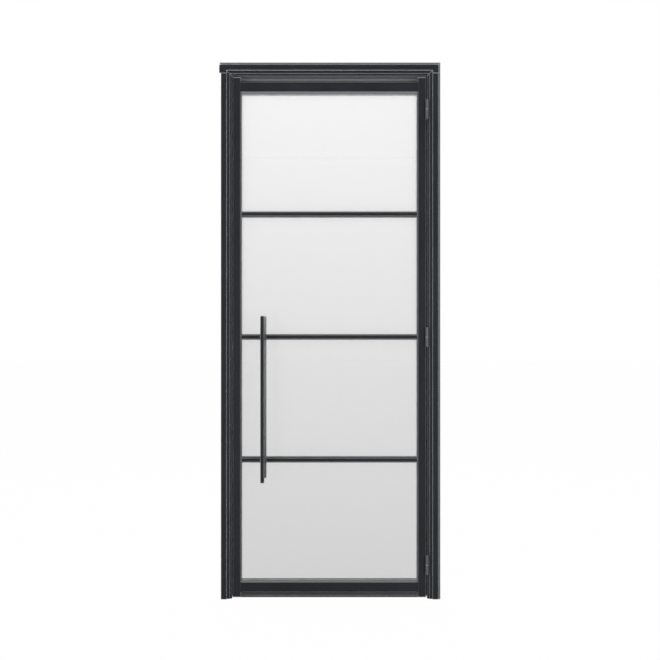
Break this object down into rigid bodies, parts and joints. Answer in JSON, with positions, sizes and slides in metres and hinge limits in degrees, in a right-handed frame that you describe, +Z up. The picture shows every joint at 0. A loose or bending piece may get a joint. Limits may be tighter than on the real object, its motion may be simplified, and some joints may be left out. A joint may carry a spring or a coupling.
{
  "type": "glazed interior door with frame",
  "caption": "Dark metal single-leaf door in a wrap-around frame, with one glass pane behind horizontal glazing bars, vertical pull bars and barrel hinges.",
  "frame": {"origin": "on the floor, in the middle of the doorway and of the closed leaf's thickness", "axes": "+Z up; +X towards the hinge jamb; the side the leaf opens towards faces -Y"},
  "size_m": [0.8865, 0.168, 2.1515],
  "materials": {
    "frame_paint": "matte powder coat",
    "frame_primer": "matte primer",
    "leaf_paint": "matte powder coat",
    "hinge_paint": "satin powder coat",
    "seal_rubber": "matte",
    "clear_glass": "translucent",
    "bare_steel": "satin",
    "plate_steel": "satin",
    "mill_aluminium": "mill",
    "pale_plastic": "matte",
    "dark_plastic": "matte"
  },
  "bodies": {
    "frame": {"frame_backing_plates": "bare_steel", "frame_head": "frame_paint", "head_cover": "frame_paint", "head_seal": "seal_rubber", "head_stop_angle": "frame_primer", "hinge_jamb": "frame_paint", "hinge_jamb_cover": "frame_paint", "hinge_jamb_seal": "seal_rubber", "hinge_pins": "bare_steel", "hinge_washers": "bare_steel", "latch_jamb": "frame_paint", "latch_jamb_cover": "frame_paint", "latch_jamb_seal": "seal_rubber", "lower_frame_knuckle": "hinge_paint", "middle_frame_knuckle": "hinge_paint", "strike_box": "dark_plastic", "strike_plate": "plate_steel", "upper_frame_knuckle": "hinge_paint"},
    "leaf": {"back_gasket": "seal_rubber", "back_pull_bar": "leaf_paint", "bottom_rail": "leaf_paint", "bottom_seal_blade": "seal_rubber", "bottom_seal_housing": "leaf_paint", "catch_case": "bare_steel", "catch_faceplate": "plate_steel", "catch_spring": "bare_steel", "cross_beads": "leaf_paint", "front_gasket": "seal_rubber", "front_pull_bar": "leaf_paint", "glass_bushes": "pale_plastic", "glass_pane": "clear_glass", "hinge_stile": "leaf_paint", "latch_stile": "leaf_paint", "leaf_backing_plates": "bare_steel", "lower_back_glazing_bar": "leaf_paint", "lower_front_glazing_bar": "leaf_paint", "lower_leaf_knuckle": "hinge_paint", "middle_back_glazing_bar": "leaf_paint", "middle_front_glazing_bar": "leaf_paint", "middle_leaf_knuckle": "hinge_paint", "pull_bar_bolts": "bare_steel", "pull_bar_caps": "leaf_paint", "pull_bar_posts": "leaf_paint", "rail_end_blocks": "mill_aluminium", "setting_blocks": "pale_plastic", "side_beads": "leaf_paint", "stile_end_caps": "leaf_paint", "top_rail": "leaf_paint", "upper_back_glazing_bar": "leaf_paint", "upper_front_glazing_bar": "leaf_paint", "upper_leaf_knuckle": "hinge_paint"},
    "catch_bolt": {"catch_bolt": "bare_steel", "catch_roller_pin": "bare_steel"},
    "roller": {"catch_roller": "pale_plastic"}
  },
  "joints": [
    {"name": "leaf_hinge", "type": "hinge", "parent": "frame", "child": "leaf", "pos_m": [0.3905, -0.03, 0], "axis": [0, 0, 1], "range_deg": [0, 170]},
    {"name": "catch_slide", "type": "slide", "parent": "leaf", "child": "catch_bolt", "axis": [1, 0, 0], "range_m": [0, 0.0045], "stiffness_N_per_m": 1500, "springref_m": -0.003, "deforming": ["catch_spring"]},
    {"name": "roller_spin", "type": "hinge", "parent": "catch_bolt", "child": "roller", "pos_m": [-0.3895, 0, 1.01], "axis": [0, 0, 1], "continuous": true}
  ]
}
